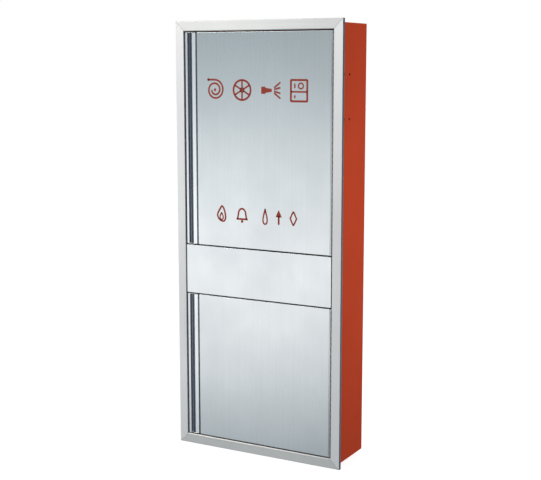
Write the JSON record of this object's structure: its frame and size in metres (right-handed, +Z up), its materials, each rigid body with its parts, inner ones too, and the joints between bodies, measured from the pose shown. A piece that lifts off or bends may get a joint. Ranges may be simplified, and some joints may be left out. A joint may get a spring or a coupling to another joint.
{
  "type": "standpipe cabinet",
  "caption": "Tall recessed fire hose cabinet: trimmed sheet-steel body with two hinged stainless doors around a fixed fascia, holding a hose valve, hose reel and nozzle.",
  "frame": {"origin": "middle of the body's flat back, the face that the wall holds", "axes": "+X to the right seen from the front, +Y into the wall, +Z up"},
  "size_m": [0.78, 0.256, 1.83],
  "materials": {
    "trim": "fine satin brushed stainless trim",
    "body_paint": "orange-red baked enamel, light orange peel",
    "dark_enamel": "dark grey baked enamel, semi matt",
    "brushed_stainless": "vertical brushed stainless sheet",
    "handle_aluminium": "satin anodised",
    "zinc_steel": "zinc plated",
    "painted_casting": "red enamel over a sand casting",
    "brass": "machined",
    "catch_plastic": "black moulded housing",
    "seal_rubber": "moulded rubber"
  },
  "bodies": {
    "cabinet": {"frame_left": "trim", "frame_bottom": "trim", "frame_right": "trim", "frame_top": "trim", "body_right_side": "body_paint", "body_left_side": "body_paint", "body_back": "body_paint", "body_top": "body_paint", "body_bottom": "body_paint", "divider_shelf": "body_paint", "extinguisher_shelf": "body_paint", "reel_bracket": "body_paint", "cross_rail_upper": "dark_enamel", "cross_rail_lower": "dark_enamel", "fascia_panel": "brushed_stainless", "upper_hinge_frame_leaf": "brushed_stainless", "lower_hinge_frame_leaf": "brushed_stainless", "outlet_coupling": "handle_aluminium", "nozzle": "handle_aluminium", "upper_hinge_pin": "zinc_steel", "lower_hinge_pin": "zinc_steel", "inlet_nipple": "zinc_steel", "reel_axle": "zinc_steel", "reel_axle_nut": "zinc_steel", "nozzle_clip_1": "zinc_steel", "nozzle_clip_2": "zinc_steel", "inlet_elbow": "painted_casting", "valve_body": "painted_casting", "valve_bonnet": "painted_casting", "gland_nut": "brass", "upper_catch_1": "catch_plastic", "upper_catch_2": "catch_plastic", "lower_catch_1": "catch_plastic", "lower_catch_2": "catch_plastic", "inlet_grommet": "seal_rubber", "coupling_seal": "seal_rubber"},
    "upper_door": {"upper_door_leaf": "brushed_stainless", "upper_handle_stile": "handle_aluminium", "upper_handle_cap_bottom": "handle_aluminium", "upper_handle_cap_top": "handle_aluminium", "upper_door_stiffener": "brushed_stainless", "upper_keeper_1": "zinc_steel", "upper_keeper_2": "zinc_steel", "upper_hinge_door_leaf": "brushed_stainless"},
    "lower_door": {"lower_door_leaf": "brushed_stainless", "lower_handle_stile": "handle_aluminium", "lower_handle_cap_bottom": "handle_aluminium", "lower_handle_cap_top": "handle_aluminium", "lower_door_stiffener": "brushed_stainless", "lower_keeper_1": "zinc_steel", "lower_keeper_2": "zinc_steel", "lower_hinge_door_leaf": "brushed_stainless"},
    "valve_disc": {"valve_disc": "brass"},
    "valve_stem": {"valve_stem": "brass", "handwheel": "painted_casting", "handwheel_nut": "zinc_steel"},
    "reel": {"reel_drum": "body_paint", "reel_disc_front": "body_paint", "reel_disc_back": "body_paint"}
  },
  "joints": [
    {"name": "upper_door_hinge", "type": "hinge", "parent": "cabinet", "child": "upper_door", "pos_m": [0.3433, -0.253, 0.421], "axis": [0, 0, 1], "range_deg": [0, 160]},
    {"name": "lower_door_hinge", "type": "hinge", "parent": "cabinet", "child": "lower_door", "pos_m": [0.3433, -0.253, -0.556], "axis": [0, 0, 1], "range_deg": [0, 160]},
    {"name": "stem_lift", "type": "slide", "parent": "cabinet", "child": "valve_disc", "axis": [0, 0, 1], "range_m": [0, 0.016]},
    {"name": "handwheel_turn", "type": "hinge", "parent": "valve_disc", "child": "valve_stem", "pos_m": [-0.235, -0.09, 0.275], "axis": [0, 0, 1], "range_deg": [0, 1440]},
    {"name": "reel_turn", "type": "hinge", "parent": "cabinet", "child": "reel", "pos_m": [0.095, -0.137, 0.585], "axis": [0, 1, 0], "continuous": true}
  ],
  "couplings": [
    {"joint": "stem_lift", "follows": "handwheel_turn", "m_per_rad": 0.0006366}
  ]
}
